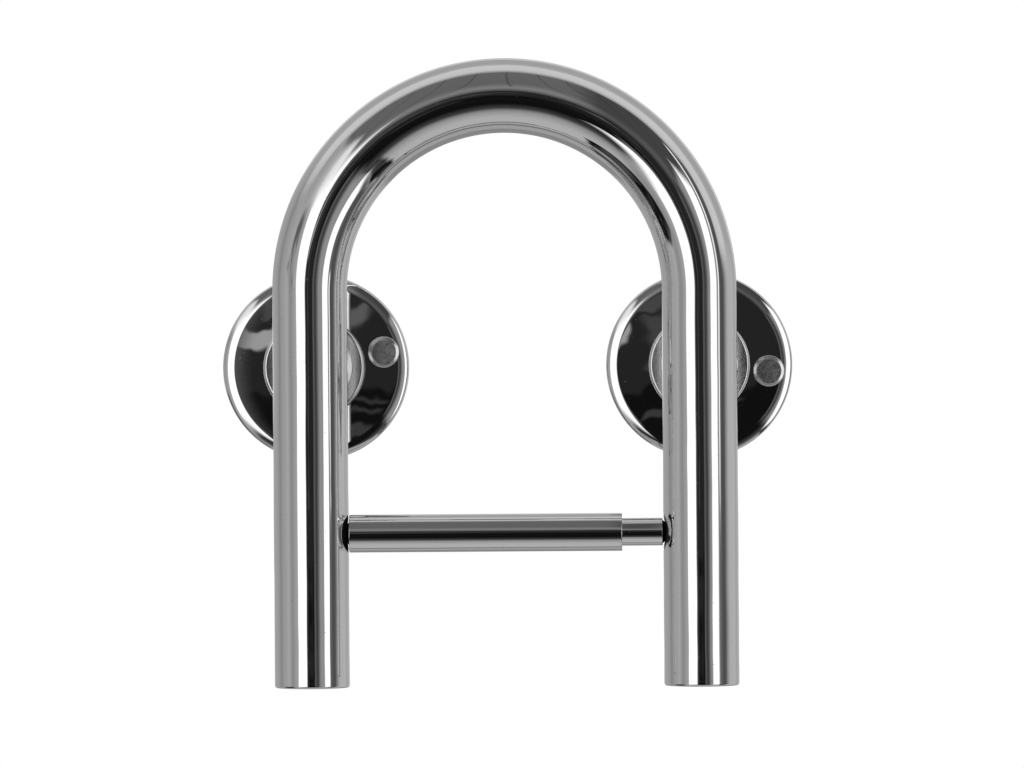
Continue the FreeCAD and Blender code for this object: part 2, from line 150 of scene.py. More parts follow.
def lathe(name, profile, centre, axis, segments=160, own_normals=True):
    """Turn a closed profile about an axis into a closed mesh of quads."""
    u, v = side_directions(axis)
    verts, normals, rings = [], [], []
    for r, h, nr, nh in profile:
        middle = centre + axis * h
        if r < 1e-7:
            rings.append([len(verts)])
            verts.append(middle)
            normals.append(axis * nh)
            continue
        rings.append(list(range(len(verts), len(verts) + segments)))
        for segment in range(segments):
            angle = 2 * math.pi * segment / segments
            way = u * math.cos(angle) + v * math.sin(angle)
            verts.append(middle + way * r)
            normals.append((way * nr + axis * nh).normalized())
    faces = []
    for index, ring in enumerate(rings):
        other = rings[(index + 1) % len(rings)]
        if len(ring) == 1 and len(other) == 1:
            continue
        for segment in range(segments):
            following = (segment + 1) % segments
            if len(ring) == 1:
                faces.append((ring[0], other[segment], other[following]))
            elif len(other) == 1:
                faces.append((ring[following], ring[segment], other[0]))
            else:
                faces.append((ring[following], ring[segment], other[segment], other[following]))
    mesh = bpy.data.meshes.new(name)
    mesh.from_pydata(verts, [], faces)
    smooth(mesh, normals if own_normals else None)
    return new_object(name, mesh)


def smooth(mesh, normals=None):
    """Shade smooth, with given vertex normals, and face the mesh outwards."""
    mesh.validate()
    tidy = bmesh.new()
    tidy.from_mesh(mesh)
    bmesh.ops.recalc_face_normals(tidy, faces=tidy.faces)
    if tidy.calc_volume(signed=True) < 0:
        bmesh.ops.reverse_faces(tidy, faces=tidy.faces)
    tidy.to_mesh(mesh)
    tidy.free()
    mesh.shade_smooth()
    if normals is not None:
        mesh.normals_split_custom_set_from_vertices(normals)


def boolean(piece, cutter, operation):
    """Join or cut one mesh with another and keep the result as plain mesh."""
    tool = piece.modifiers.new(operation, "BOOLEAN")
    tool.operation = operation
    tool.solver = "EXACT"
    tool.object = cutter
    result = bpy.data.meshes.new_from_object(piece.evaluated_get(bpy.context.evaluated_depsgraph_get()))
    piece.modifiers.clear()
    old = piece.data
    piece.data = result
    bpy.data.meshes.remove(old)
    bpy.data.objects.remove(cutter)


def reshade(piece, exact, sharp_angle=35, flat_axis=None):
    """Smooth by angle, then give the corners that exact() knows their true normals.

    Faces square to flat_axis stay flat, so that a small rounded edge doesn't shade them.
    """
    mesh = piece.data
    mesh.shade_smooth()
    mesh.set_sharp_from_angle(angle=math.radians(sharp_angle))
    corner_normals = [Vector(corner.vector) for corner in mesh.corner_normals]
    for face in mesh.polygons:
        flat = flat_axis is not None and abs(face.normal.dot(flat_axis)) > 0.9995
        for corner in face.loop_indices:
            spot = mesh.vertices[mesh.loops[corner].vertex_index].co
            known = exact(spot, face.normal)
            if known is None and flat:
                known = face.normal
            if known is not None:
                corner_normals[corner] = known
    mesh.normals_split_custom_set(corner_normals)


# ---------------------------------------------------------------- rail tube

STRAIGHT_RINGS = 90
ARCH_RINGS = 150
AROUND = 128
# The tube wall's slight waves: their depth, their two lengths along the tube, and how far from
# the open ends and the roller sockets they start.
WAVE_DEPTH = 0.16 * MM
LONG_WAVE, SHORT_WAVE = 34 * MM, 15 * MM
END_FADE = 14 * MM
SOCKET_MARGIN, SOCKET_FADE = 9 * MM, 12 * MM
SOCKET_EDGE = 0.35 * MM


def rail_length():
    return 2 * LEG_LENGTH + math.pi * LEG_X


def rail_station(along):
    """Centre of the tube, direction away from the arch's middle, and way along, at a length."""
    turn = (along - LEG_LENGTH) / LEG_X
    if turn < 0:
        return Vector((-LEG_X, TUBE_Y, TUBE_FOOT + along)), -AXIS_X
    if turn > math.pi:
        return Vector((LEG_X, TUBE_Y, ARCH_Z - (along - LEG_LENGTH - math.pi * LEG_X))), AXIS_X
    out = Vector((-math.cos(turn), 0, math.sin(turn)))
    return Vector((0, TUBE_Y, ARCH_Z)) + out * LEG_X, out


def rail_sag(along, angle):
    """How far the hand-polished wall lies inside a true round tube."""
    length = rail_length()
    end = min(along, length - along)
    socket_along = ROLLER_Z - TUBE_FOOT
    socket = min(abs(along - socket_along), abs(length - along - socket_along))
    fade = min(1.0, end / END_FADE) * min(1.0, max(0.0, (socket - SOCKET_MARGIN) / SOCKET_FADE))
    fade = fade * fade * (3 - 2 * fade)
    around = Vector((math.cos(angle), math.sin(angle), 0))
    wave = noise.noise(around * 1.1 + AXIS_Z * (along / LONG_WAVE))
    wave += 0.5 * noise.noise(around * 2 + AXIS_Z * (7 + along / SHORT_WAVE))
    return WAVE_DEPTH * fade * max(0.0, 0.35 + 0.36 * wave)


def rail_point(along, angle, radius):
    centre, out = rail_station(along)
    way = out * math.cos(angle) + OFF_WALL * math.sin(angle)
    return centre + way * (radius - rail_sag(along, angle))


def rail_normal(spot, face_normal):
    """True normal of the tube's outer wall at a point on it, or None elsewhere."""
    if spot.z <= ARCH_Z:
        side = math.copysign(1, spot.x)
        along = spot.z - TUBE_FOOT if side < 0 else rail_length() - (spot.z - TUBE_FOOT)
    else:
        along = LEG_LENGTH + LEG_X * (math.pi - math.atan2(spot.z - ARCH_Z, spot.x))
    centre, out = rail_station(along)
    offset = spot - centre
    off_wall = abs(offset.length - TUBE_RADIUS) > SOCKET_EDGE
    if off_wall or face_normal.dot(offset.normalized()) < 0.8:
        return None
    angle = math.atan2(offset.dot(OFF_WALL), offset.dot(out))
    step = 0.4 * MM
    turn = step / TUBE_RADIUS
    ahead = rail_point(along + step, angle, TUBE_RADIUS) - rail_point(along - step, angle, TUBE_RADIUS)
    across = rail_point(along, angle + turn, TUBE_RADIUS) - rail_point(along, angle - turn, TUBE_RADIUS)
    normal = ahead.cross(across).normalized()
    return normal if normal.dot(offset) > 0 else -normal


def make_rail():
    """The bent tube, inside and out, very slightly out of round as bending leaves it."""
    arch_end = LEG_LENGTH + math.pi * LEG_X
    stations = list(np.linspace(0, LEG_LENGTH, STRAIGHT_RINGS, endpoint=False))
    stations += list(np.linspace(LEG_LENGTH, arch_end, ARCH_RINGS, endpoint=False))
    stations += list(np.linspace(arch_end, rail_length(), STRAIGHT_RINGS + 1))
    verts = []
    for radius, lengths in ((TUBE_RADIUS, stations), (TUBE_RADIUS - TUBE_WALL, stations[::-1])):
        for along in lengths:
            for segment in range(AROUND):
                verts.append(rail_point(along, 2 * math.pi * segment / AROUND, radius))
    ring_count = 2 * len(stations)
    faces = []
    for ring in range(ring_count):
        for segment in range(AROUND):
            following = (segment + 1) % AROUND
            other = (ring + 1) % ring_count
            faces.append((ring * AROUND + segment, ring * AROUND + following,
                          other * AROUND + following, other * AROUND + segment))
    mesh = bpy.data.meshes.new("rail")
    mesh.from_pydata(verts, [], faces)
    smooth(mesh)
    rail = new_object("rail_polished_tube", mesh)
    inside = -8 * TUBE_WALL
    outside = 3 * (TUBE_RADIUS - math.sqrt(TUBE_RADIUS ** 2 - SOCKET_RADIUS ** 2))
    for _, sign in SIDES:
        profile = [(0, inside, 0), (SOCKET_RADIUS, inside, SOCKET_EDGE),
                   (SOCKET_RADIUS, outside, SOCKET_EDGE), (0, outside, 0)]
        mouth = Vector((sign * (LEG_X - TUBE_RADIUS), TUBE_Y, ROLLER_Z))
        cutter = lathe("cutter", rounded(profile), mouth, AXIS_X * -sign, segments=96)
        boolean(rail, cutter, "DIFFERENCE")
    reshade(rail, rail_normal)
    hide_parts("rail_tube")
    finish_piece(rail, "rail", "polished_steel")


# ---------------------------------------------------------------- other fixed pieces

def finish_piece(piece, body, slot, material=None):
    """Give a piece its material, chosen by slot unless another is named, and its body."""
    piece.data.materials.clear()
    piece.data.materials.append(materials[material or slot])
    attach(piece, body)


def make_end_cap(side, sign):
    """A welded and polished disc that closes the leg, with a soft lower edge."""
    low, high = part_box(side + "_end_cap")
    plate = TUBE_FOOT - low.z
    bore = TUBE_RADIUS - TUBE_WALL
    height = high.z - low.z
    fine = 0.05 * MM
    crown = 0.25 * MM
    edge = 1.1 * MM
    corners = [(0, 0, 0), (TUBE_RADIUS * 0.72, 0, TUBE_RADIUS * 1.5), (TUBE_RADIUS, crown, edge),
               (TUBE_RADIUS, plate, fine), (bore, plate, fine), (bore, height, fine), (0, height, 0)]
    centre = Vector((sign * LEG_X, TUBE_Y, low.z))
    cap = lathe(side + "_leg_end_cap", rounded(corners, 10), centre, AXIS_Z)
    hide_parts(side + "_end_cap")
    finish_piece(cap, "rail", "polished_steel")


def leg_back(x):
    """Height off the wall of the leg's back surface, x across from its middle."""
    return -TUBE_Y - math.sqrt(max(TUBE_RADIUS ** 2 - x ** 2, 0))


def make_post(side, sign):
    """The stand-off tube with a polished weld fillet where it meets the leg."""
    segments = 128
    fillet, fillet_steps = 1.6 * MM, 8
    bore = POST_RADIUS - POST_WALL
    widest = TUBE_RADIUS * 0.97
    centre = Vector((sign * LEG_X, 0, 0))
    ways = []
    for segment in range(segments):
        angle = 2 * math.pi * segment / segments
        ways.append(Vector((math.cos(angle), 0, math.sin(angle))))

    verts = [centre + way * POST_RADIUS + OFF_WALL * HUB_BASE for way in ways]
    normals = list(ways)
    for step in range(fillet_steps + 1):
        sweep = step / fillet_steps * math.pi / 2
        reach = POST_RADIUS + fillet * (1 - math.cos(sweep))
        for way in ways:
            foot = leg_back(min(abs(way.x) * (POST_RADIUS + fillet), widest))
            rise = foot - fillet * (1 - math.sin(sweep)) * (1 + 0.5 * way.x ** 2)
            leg_way = Vector((way.x * reach, -(rise + TUBE_Y), 0)).normalized()
            verts.append(centre + way * reach + OFF_WALL * rise)
            normals.append((way * math.cos(sweep) + leg_way * math.sin(sweep)).normalized())
    verts += [centre + way * bore + OFF_WALL * leg_back(way.x * bore) for way in ways]
    verts += [centre + way * bore + OFF_WALL * HUB_BASE for way in ways]
    normals += [-way for way in ways] * 2

    ring_count = len(verts) // segments
    faces = []
    for ring in range(ring_count):
        other = (ring + 1) % ring_count
        for segment in range(segments):
            following = (segment + 1) % segments
            faces.append((ring * segments + segment, ring * segments + following,
                          other * segments + following, other * segments + segment))
    mesh = bpy.data.meshes.new("post")
    mesh.from_pydata(verts, [], faces)
    smooth(mesh, normals)
    post = new_object(side + "_stand_off_post", mesh)
    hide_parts(side + "_post")
    finish_piece(post, "rail", "polished_steel")


def make_hub(side, sign):
    """A cup with a rounded front edge, a turned shelf and a cove up to the post."""
    shelf = HUB_BASE + 16 * MM
    wall = 2 * MM
    step = HUB_RADIUS - POST_RADIUS
    neck = POST_RADIUS + 0.43 * step
    fine = 0.15 * MM
    small = 0.3 * MM
    corners = [(POST_RADIUS, shelf - wall, fine), (HUB_RADIUS - wall, shelf - wall, 0.8 * MM),
               (HUB_RADIUS - wall, HUB_BASE, fine), (HUB_RADIUS, HUB_BASE, 0.4 * MM),
               (HUB_RADIUS, shelf, 0.16 * step),
               (neck + 0.35 * MM, shelf - 0.12 * MM, 0.25 * MM), (neck - 0.1 * MM, shelf + 0.5 * MM, small),
               (POST_RADIUS + 1.6 * MM, HUB_TOP - 1.5 * MM, 1.8 * MM),
               (POST_RADIUS + 0.6 * MM, HUB_TOP, small), (POST_RADIUS, HUB_TOP, fine)]
    centre = Vector((sign * LEG_X, 0, 0))
    hub = lathe(side + "_hub_collar", rounded(corners, 8), centre, OFF_WALL, segments=192)
    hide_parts(side + "_hub")
    finish_piece(hub, "rail", "turned_steel")


def make_washer(side, sign):
    """The thrust washer that traps the flange, seen from behind."""
    low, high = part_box(side + "_retaining_washer")
    radius = (high.x - low.x) / 2
    back, front = -high.y, -low.y
    bore = SCREW_RADIUS
    edge = 0.25 * MM
    corners = [(bore, back, edge), (radius, back, edge), (radius, front, edge), (bore, front, edge)]
    centre = Vector((sign * LEG_X, 0, 0))
    washer = lathe(side + "_thrust_washer", rounded(corners), centre, OFF_WALL, segments=96)
    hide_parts(side + "_retaining_washer")
    finish_piece(washer, "rail", "zinc_steel")


def make_key_screw(side, sign):
    """The low-head screw through the washer, with its thread and hexagon socket."""
    low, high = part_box(side + "_retaining_screw")
    back, tip = -high.y, -low.y
    head_radius = (high.x - low.x) / 2
    head, pitch, depth = 3 * MM, 1.25 * MM, 0.55 * MM
    corners = [(0, back, 0), (head_radius, back, 0.6 * MM), (head_radius, back + head, 0.2 * MM),
               (SCREW_RADIUS - 0.1 * MM, back + head, 0.1 * MM)]
    for turn in range(int((tip - back - head - pitch) / pitch)):
        level = back + head + pitch * (turn + 0.6)
        corners.append((SCREW_RADIUS - depth, level, 0.1 * MM))
        corners.append((SCREW_RADIUS - 0.05 * MM, level + pitch * 0.5, 0.06 * MM))
    corners += [(SCREW_RADIUS - depth, tip - 0.2 * MM, 0.3 * MM), (SCREW_RADIUS * 0.6, tip, 0.2 * MM),
                (0, tip, 0)]
    centre = Vector((sign * LEG_X, 0, 0))
    screw = lathe(side + "_key_screw", rounded(corners, 3), centre, OFF_WALL, segments=72, own_normals=False)
    across_flats = 5 * MM
    corner_radius = across_flats / math.sqrt(3)
    fine = 0.05 * MM
    socket = [(0, back - 2 * MM, 0), (corner_radius, back - 2 * MM, fine),
              (corner_radius, back + 2 * MM, fine), (0, back + 3.2 * MM, 0)]
    boolean(screw, lathe("cutter", rounded(socket, 1), centre, OFF_WALL, segments=6), "DIFFERENCE")
    reshade(screw, lambda spot, face_normal: None, 30, OFF_WALL)
    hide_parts(side + "_retaining_screw")
    finish_piece(screw, "rail", "zinc_steel")


# ---------------------------------------------------------------- flanges and caps

# Front face: rim edge, shoulder and dome radii, the slope where the first two meet, in degrees,
# and the flat land under the hub.
EDGE_RADIUS, EDGE_SLOPE = 1.5 * MM, 24.0
SHOULDER_RADIUS = 12.3 * MM
DOME_RADIUS = 500.0 * MM
LAND_RADIUS = HUB_RADIUS - 0.6 * MM
# Behind: the bearing bore and its depth, the retainers' pocket, the core round it and the relief.
BEARING_RADIUS, BEARING_DEPTH = 8.05 * MM, 3.5 * MM
POCKET_RADIUS, CORE_RADIUS, RELIEF_RADIUS = 13 * MM, 17 * MM, 35 * MM
RELIEF = FLANGE_HEIGHT - 4.5 * MM
# Screw places: boss, bore, seat for the screw's head, hole for the head and seat for the cover.
BOSS_RADIUS, BORE_RADIUS, HEAD_SEAT, HEAD_RADIUS = 7.5 * MM, 2.75 * MM, 3 * MM, 5.3 * MM
CAP_SEAT = FLANGE_HEIGHT - 1.4 * MM
# How far each flange is turned, in degrees.
TURNS = {"left": 12.4, "right": -5.4}


def flange_front():
    """The front face's arcs: rim edge, shoulder, then one even dome up to the land."""
    edge_slope = math.radians(EDGE_SLOPE)
    shoulder_r = FLANGE_RADIUS - EDGE_RADIUS * (1 - math.sin(edge_slope))
    middle_r = shoulder_r - SHOULDER_RADIUS * math.sin(edge_slope)
    slope = math.asin(middle_r / (DOME_RADIUS - SHOULDER_RADIUS))
    land_slope = math.asin(LAND_RADIUS / DOME_RADIUS)
    dome_centre = FLANGE_HEIGHT - DOME_RADIUS * math.cos(land_slope)
    shoulder_centre = dome_centre + (DOME_RADIUS - SHOULDER_RADIUS) * math.cos(slope)
    rim = shoulder_centre + (SHOULDER_RADIUS - EDGE_RADIUS) * math.cos(edge_slope)
    points = arc_points(FLANGE_RADIUS - EDGE_RADIUS, rim, EDGE_RADIUS, 0, 90 - EDGE_SLOPE, 10)
    points += arc_points(middle_r, shoulder_centre, SHOULDER_RADIUS, 90 - EDGE_SLOPE,
                         90 - math.degrees(slope), 12)[1:]
    points += arc_points(0, dome_centre, DOME_RADIUS, 90 - math.degrees(slope),
                         90 - math.degrees(land_slope), 16)[1:]
    return points


FRONT = flange_front()


def flange_normal(centre):
    """A function that knows the front face's true normals round a flange's centre."""
    radii = [point[0] for point in reversed(FRONT)]
    heights = [point[1] for point in reversed(FRONT)]
    tilts = [math.atan2(point[2], point[3]) for point in reversed(FRONT)]

    def exact(spot, face_normal):
        offset = spot - centre
        r = math.hypot(offset.x, offset.z)
        if r > FLANGE_RADIUS - 1e-6 and abs(face_normal.y) < 0.2:
            return Vector((offset.x, 0, offset.z)).normalized()
        if face_normal.y > -0.05 or abs(-offset.y - np.interp(r, radii, heights)) > 0.02 * MM:
            return None
        if r > FLANGE_RADIUS - 1e-6:
            return Vector((offset.x, 0, offset.z)).normalized()
        tilt = float(np.interp(r, radii, tilts))
        way = Vector((offset.x, 0, offset.z)).normalized()
        return way * math.sin(tilt) + OFF_WALL * math.cos(tilt)

    return exact


def screw_places(side, sign):
    for number, quarter in enumerate((90, 0, -90), start=1):
        angle = math.radians(TURNS[side] + quarter)
        out = Vector((math.cos(angle), 0, math.sin(angle)))
        yield number, AXIS_X * (sign * LEG_X) + out * SCREW_CIRCLE


def make_flange(side, sign):
    """A shallow domed plate, relieved behind, with three bosses bored for screws and covers."""
    centre = Vector((sign * LEG_X, 0, 0))
    bearing_floor = FLANGE_HEIGHT - BEARING_DEPTH
    edge = 0.4 * MM
    steps = 5
    behind = rounded([(BEARING_RADIUS, bearing_floor, edge), (POCKET_RADIUS, bearing_floor, edge),
                      (POCKET_RADIUS, 0, edge), (CORE_RADIUS, 0, edge), (CORE_RADIUS, RELIEF, edge),
                      (RELIEF_RADIUS, RELIEF, edge), (RELIEF_RADIUS, 0, edge), (FLANGE_RADIUS, 0, edge),
                      (FLANGE_RADIUS, FLANGE_HEIGHT, 0), (BEARING_RADIUS, FLANGE_HEIGHT, 0)], steps)
    back_half = behind[:8 * (steps + 1)]
    bore_edge = rounded([(LAND_RADIUS, FLANGE_HEIGHT, 0), (BEARING_RADIUS, FLANGE_HEIGHT, edge),
                         (BEARING_RADIUS, bearing_floor, edge), (LAND_RADIUS, bearing_floor, 0)], steps)
    bore_edge = bore_edge[steps + 1:2 * (steps + 1)]
    flange = lathe(side + "_flange_plate", back_half + FRONT + bore_edge, centre, OFF_WALL, segments=256)
    sunk = 0.05 * MM
    root = RELIEF + 1 * MM
    boss = rounded([(0, sunk, 0), (BOSS_RADIUS, sunk, edge), (BOSS_RADIUS, root, 0.2 * MM), (0, root, 0)])
    for _, place in screw_places(side, sign):
        boolean(flange, lathe("boss", boss, place, OFF_WALL, segments=96), "UNION")
    fine = 0.12 * MM
    seat = CAP_RADIUS + 0.1 * MM
    behind_back, past_front = -2 * MM, 12 * MM
    bore = rounded([(0, behind_back, 0), (BORE_RADIUS, behind_back, fine), (BORE_RADIUS, HEAD_SEAT, fine),
                    (HEAD_RADIUS, HEAD_SEAT, fine), (HEAD_RADIUS, CAP_SEAT, fine), (seat, CAP_SEAT, fine),
                    (seat, past_front, fine), (0, past_front, 0)], 3)
    for _, place in screw_places(side, sign):
        boolean(flange, lathe("cutter", bore, place, OFF_WALL, segments=96), "DIFFERENCE")
    reshade(flange, flange_normal(centre), flat_axis=OFF_WALL)
    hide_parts(side + "_flange")
    finish_piece(flange, side + "_wall_flange", "polished_steel")


def make_screw_covers(side, sign):
    """Snap-in covers: a satin disc with a rounded rim and a spigot behind."""
    spigot = 5.2 * MM
    spigot_end = CAP_SEAT - 2 * MM
    rim, rim_drop = 1.3 * MM, 0.62 * MM
    fine = 0.15 * MM
    soft = 0.3 * MM
    corners = [(0, spigot_end, 0), (spigot, spigot_end, soft), (spigot, CAP_SEAT, fine),
               (CAP_RADIUS, CAP_SEAT, fine), (CAP_RADIUS, CAP_TOP - rim_drop, 0.45 * MM),
               (CAP_RADIUS - rim, CAP_TOP - 0.06 * MM, soft), (CAP_RADIUS - rim * 1.3, CAP_TOP, soft),
               (0, CAP_TOP, 0)]
    for number, place in screw_places(side, sign):
        cover = lathe("%s_screw_cover_%d" % (side, number), rounded(corners, 8), place, OFF_WALL, segments=96)
        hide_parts("%s_screw_cap_%d" % (side, number))
        finish_piece(cover, side + "_wall_flange", "satin_cap")


# ---------------------------------------------------------------- roller

def make_socket(side, sign):
    """The bush in the leg: its dished mouth follows the leg's curve."""
    mouth, nib_bore = 7.6 * MM, 3.2 * MM
    length, floor = 11 * MM, 2 * MM
    dish = 3.6 * MM
    sunk = 0.12 * MM
    cone_steps = 24
    cone = []
    for step in range(cone_steps + 1):
        share = step / cone_steps
        cone.append((mouth + (nib_bore - mouth) * share, -floor + (dish + floor) * share, 0.7, -0.7))
    profile = [(0, length - floor, 0, -1), (nib_bore, length - floor, -1, 0)] + cone[::-1]
    profile += [(SOCKET_RADIUS, -floor, 1, 0), (SOCKET_RADIUS, length, 1, 0), (0, length, 0, 1)]
    centre = Vector((sign * (LEG_X - TUBE_RADIUS), TUBE_Y, ROLLER_Z))
    socket = lathe(side + "_nib_socket", profile, centre, AXIS_X * sign, segments=96, own_normals=False)
    for vert in socket.data.vertices:
        depth = (vert.co.x - centre.x) * sign
        saddle = TUBE_RADIUS - math.sqrt(TUBE_RADIUS ** 2 - (vert.co.y - TUBE_Y) ** 2) + sunk
        if depth < saddle:
            vert.co.x = centre.x + sign * saddle
    reshade(socket, lambda spot, face_normal: None, 40)
    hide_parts(side + "_roller_socket")
    finish_piece(socket, "rail", "black_acetal")


def make_roller_tube(node, name, body, radius, wall, edge):
    """One of the roller's chromed tubes with rolled-over ends."""
    low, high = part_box(node)
    bore = radius - wall
    corners = [(radius, 0, edge), (radius, high.x - low.x, edge), (bore, high.x - low.x, edge * 0.5),
               (bore, 0, edge * 0.5)]
    centre = Vector((low.x, TUBE_Y, ROLLER_Z))
    tube = lathe(name, rounded(corners), centre, AXIS_X, segments=160)
    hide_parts(node)
    finish_piece(tube, body, "polished_steel", "roller_chrome")


def make_tip(node, name, body, sign, plug_radius):
    """A moulded end plug: a shoulder, a cone and a round-nosed nib."""
    low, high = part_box(node)
    start = low.x if sign > 0 else high.x
    plug, cone, nib = 10 * MM, 2 * MM, 6 * MM
    base, nib_radius = 5 * MM, 3.1 * MM
    corners = [(0, 0, 0), (plug_radius, 0, 0.4 * MM), (plug_radius, plug, 0.15 * MM), (base, plug, 0.1 * MM),
               (nib_radius, plug + cone, 0.8 * MM), (nib_radius, plug + cone + nib, 2.2 * MM),
               (0, plug + cone + nib, 0)]
    tip = lathe(name, rounded(corners, 8), Vector((start, TUBE_Y, ROLLER_Z)), AXIS_X * sign, segments=96)
    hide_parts(node)
    finish_piece(tip, body, "black_acetal")


# ---------------------------------------------------------------- materials

class Nodes:
    """Short calls for building a node tree."""

    def __init__(self, tree):
        self.tree = tree
        tree.nodes.clear()

    def add(self, kind, sockets=None, **settings):
        node = self.tree.nodes.new(kind)
        for name, value in settings.items():
            setattr(node, name, value)
        for key, value in (sockets or {}).items():
            if isinstance(value, bpy.types.NodeSocket):
                self.tree.links.new(value, node.inputs[key])
            else:
                node.inputs[key].default_value = value
        return node

    def math(self, operation, *values, clamp=False):
        sockets = dict(enumerate(values))
        return self.add("ShaderNodeMath", sockets, operation=operation, use_clamp=clamp).outputs[0]

    def map(self, value, low, high, to_low=0.0, to_high=1.0, kind="SMOOTHSTEP"):
        sockets = {0: value, 1: low, 2: high, 3: to_low, 4: to_high}
        return self.add("ShaderNodeMapRange", sockets, interpolation_type=kind).outputs[0]

    def window(self, value, low, high, soft):
        """One between low and high, fading to nothing either side."""
        rise = self.map(value, low - soft, low + soft)
        fall = self.map(value, high - soft, high + soft, 1.0, 0.0)
        return self.math("MULTIPLY", rise, fall)

    def ramp(self, value, stops):
        """Grey levels along a value; stops are (value, level)."""
        low, high = stops[0][0], stops[-1][0]
        node = self.add("ShaderNodeValToRGB", {0: self.map(value, low, high, kind="LINEAR")})
        elements = node.color_ramp.elements
        while len(elements) < len(stops):
            elements.new(1.0)
        for index, (place, _) in enumerate(stops):
            elements[index].position = (place - low) / (high - low)
        for index, (_, level) in enumerate(stops):
            elements[index].color = (level, level, level, 1)
        return node.outputs[0]

    def mix(self, share, first, second):
        return self.add("ShaderNodeMix", {0: share, 6: first, 7: second}, data_type="RGBA").outputs[2]

    def noise(self, scale, detail=2.0, stretch=(1, 1, 1)):
        """Noise in the object's own metres, as fine as scale per metre."""
        place = self.add("ShaderNodeTexCoord").outputs["Object"]
        mapped = self.add("ShaderNodeMapping", {0: place, 3: stretch}).outputs[0]
        return self.add("ShaderNodeTexNoise", {"Vector": mapped, "Scale": scale, "Detail": detail}).outputs[0]


def new_material(name, metallic, build, **sockets):
    """A Principled material; build() returns its colour, roughness and bump height."""
    material = bpy.data.materials.new(name)
    material.use_nodes = True
    nodes = Nodes(material.node_tree)
    colour, roughness, height, strength, distance = build(nodes)
    bump = nodes.add("ShaderNodeBump", {"Height": height, "Strength": strength, "Distance": distance})
    values = {"Base Color": colour, "Roughness": roughness, "Metallic": metallic, "Normal": bump.outputs[0]}
    values.update(sockets)
    shader = nodes.add("ShaderNodeBsdfPrincipled", values)
    nodes.add("ShaderNodeOutputMaterial", {0: shader.outputs[0]})
    return material


def polish(scratch_stretch, base=(0.80, 0.80, 0.81), rough=(0.018, 0.06)):
    """Mirror polish: faint haze patches, hairline polishing marks and a few specks."""
    def build(nodes):
        haze = nodes.noise(38, 4)
        smudge = nodes.map(haze, 0.48, 0.72)
        hairs = nodes.noise(900, 3, scratch_stretch)
        specks = nodes.map(nodes.noise(1500, 0), 0.80, 0.86)
        tint = nodes.mix(nodes.math("MULTIPLY", specks, 0.6), (*base, 1), (0.25, 0.25, 0.26, 1))
        roughness = nodes.math("ADD", nodes.map(smudge, 0, 1, *rough), nodes.math("MULTIPLY", specks, 0.2))
        height = nodes.math("SUBTRACT", nodes.math("MULTIPLY", hairs, 0.35), specks)
        return tint, roughness, height, 0.012, 0.02 * MM
    return build


def turned(base, rough, ring_scale):
    """A lathe-turned face: fine rings round the post and a satin haze."""
    def build(nodes):
        place = nodes.add("ShaderNodeTexCoord").outputs["Object"]
        split = nodes.add("ShaderNodeSeparateXYZ", {0: place})
        across = nodes.math("SUBTRACT", nodes.math("ABSOLUTE", split.outputs[0]), LEG_X)
        radius = nodes.math("SQRT", nodes.math("ADD", nodes.math("POWER", across, 2.0),
                                               nodes.math("POWER", split.outputs[2], 2.0)))
        rings = nodes.add("ShaderNodeTexNoise",
                          {"W": nodes.math("MULTIPLY", radius, ring_scale), "Scale": 1.0, "Detail": 3.0},
                          noise_dimensions="1D").outputs[0]
        haze = nodes.noise(60, 4)
        tint = nodes.mix(haze, (*[c * 0.9 for c in base], 1), (*base, 1))
        blend = nodes.math("ADD", nodes.math("MULTIPLY", rings, 0.5), nodes.math("MULTIPLY", haze, 0.5))
        return tint, nodes.map(blend, 0.3, 0.7, *rough), rings, 0.12, 0.02 * MM
    return build


def brushed(base, rough, scale, stretch, strength):
    """Satin metal with a fine grain and cloudy tone."""
    def build(nodes):
        grain = nodes.noise(scale, 3, stretch)
        cloud = nodes.noise(90, 4)
        tint = nodes.mix(cloud, (*[c * 0.82 for c in base], 1), (*base, 1))
        return tint, nodes.map(grain, 0.3, 0.7, *rough), grain, strength, 0.03 * MM
    return build


def moulded(base, rough):
    """Moulded acetal: a slight orange-peel skin and scuffs."""
    def build(nodes):
        skin = nodes.noise(700, 2)
        scuff = nodes.map(nodes.noise(220, 5), 0.52, 0.7)
        tint = nodes.mix(nodes.math("MULTIPLY", scuff, 0.5), (*base, 1), (*[c * 2.5 for c in base], 1))
        return tint, nodes.map(scuff, 0, 1, *rough), skin, 0.15, 0.02 * MM
    return build


EVEN = (1, 1, 1)
materials = {
    "polished_steel": new_material("polished_steel", 1.0, polish((1, 1, 0.04))),
    "roller_chrome": new_material("roller_chrome", 1.0, polish((0.03, 1, 1), rough=(0.02, 0.07))),
    "turned_steel": new_material("turned_steel", 1.0, turned((0.78, 0.78, 0.78), (0.15, 0.26), 9000)),
    "satin_cap": new_material("satin_cap", 1.0,
                              brushed((0.84, 0.84, 0.84), (0.24, 0.32), 500, EVEN, 0.02)),
    "zinc_steel": new_material("zinc_steel", 1.0,
                               brushed((0.58, 0.60, 0.62), (0.22, 0.42), 500, EVEN, 0.2)),
    "spring_steel": new_material("spring_steel", 1.0,
                                 brushed((0.45, 0.45, 0.47), (0.2, 0.4), 900, EVEN, 0.2)),
    "black_acetal": new_material("black_acetal", 0.0, moulded((0.012, 0.012, 0.013), (0.18, 0.4)),
                                 **{"IOR": 1.48}),
}


# ---------------------------------------------------------------- build the pieces

